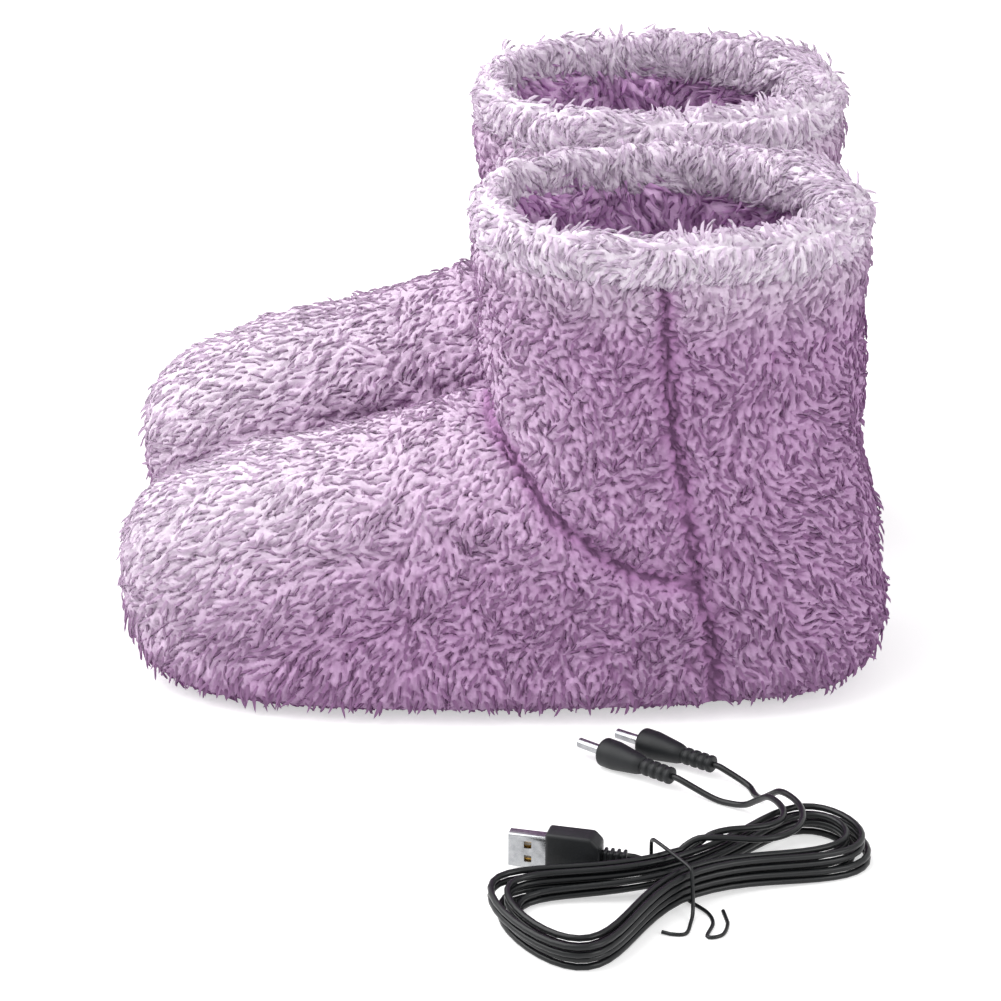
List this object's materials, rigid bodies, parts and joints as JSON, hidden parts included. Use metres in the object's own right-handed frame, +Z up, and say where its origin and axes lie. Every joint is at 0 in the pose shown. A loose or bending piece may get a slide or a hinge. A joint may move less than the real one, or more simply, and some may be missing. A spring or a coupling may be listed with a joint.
{
  "type": "electric foot warmer",
  "caption": "Heated plush ankle boots with lined shafts and grip soles, and a low-voltage lead wound in a tied hank that branches from a USB plug to barrel plugs.",
  "frame": {"origin": "on the floor, under the middle of the pair of boots", "axes": "+Z up, -X the way the toes point, -Y the side of the wearer's left boot and of the lead"},
  "size_m": [0.2734, 0.4038, 0.18],
  "materials": {
    "lilac_plush": "long curly plush pile",
    "lilac_plush_rim": "long curly plush pile, rolled over",
    "mauve_fleece": "plush fleece",
    "grip_fabric": "woven cloth with moulded dots",
    "eva_foam": "closed-cell foam sheet",
    "pad_felt": "needled felt",
    "heating_wire": "silicone-covered heating wire",
    "black_plastic": "moulded",
    "black_pvc": "soft PVC, satin",
    "nickel_plate": "nickel plated",
    "gilt_contact": "gilt flash",
    "white_plastic": "moulded"
  },
  "bodies": {
    "left_boot": {"left_vamp_panel": "lilac_plush", "left_shaft_front_panel": "lilac_plush", "left_heel_panel": "lilac_plush", "left_rim_roll": "lilac_plush_rim", "left_lining": "mauve_fleece", "left_outsole": "grip_fabric", "left_midsole": "eva_foam", "left_heating_pad": "pad_felt", "left_heating_wire": "heating_wire", "left_thermal_cutout": "white_plastic", "left_pad_lead": "black_pvc", "left_insole": "mauve_fleece", "left_power_socket": "black_plastic", "left_socket_pin": "nickel_plate"},
    "right_boot": {"right_vamp_panel": "lilac_plush", "right_shaft_front_panel": "lilac_plush", "right_heel_panel": "lilac_plush", "right_rim_roll": "lilac_plush_rim", "right_lining": "mauve_fleece", "right_outsole": "grip_fabric", "right_midsole": "eva_foam", "right_heating_pad": "pad_felt", "right_heating_wire": "heating_wire", "right_thermal_cutout": "white_plastic", "right_pad_lead": "black_pvc", "right_insole": "mauve_fleece", "right_power_socket": "black_plastic", "right_socket_pin": "nickel_plate"},
    "power_cable": {"usb_shell": "nickel_plate", "usb_tongue": "white_plastic", "usb_contact_1": "gilt_contact", "usb_contact_2": "gilt_contact", "usb_contact_3": "gilt_contact", "usb_contact_4": "gilt_contact", "usb_grip": "black_pvc", "plug_1_barrel": "nickel_plate", "plug_1_insulator": "black_plastic", "plug_1_grip": "black_pvc", "plug_2_barrel": "nickel_plate", "plug_2_insulator": "black_plastic", "plug_2_grip": "black_pvc", "lead_1_feed": "black_pvc", "lead_1_hank": "black_pvc", "lead_1_tail": "black_pvc", "lead_2_feed": "black_pvc", "lead_2_hank": "black_pvc", "lead_2_tail": "black_pvc", "wire_tie": "black_pvc"}
  },
  "joints": [
    {"name": "right_boot_lift", "type": "slide", "parent": "left_boot", "child": "right_boot", "axis": [0, 0, 1], "range_m": [0, 0.25]},
    {"name": "power_cable_lift", "type": "slide", "parent": "left_boot", "child": "power_cable", "axis": [0, 0, 1], "range_m": [0, 0.25]}
  ]
}
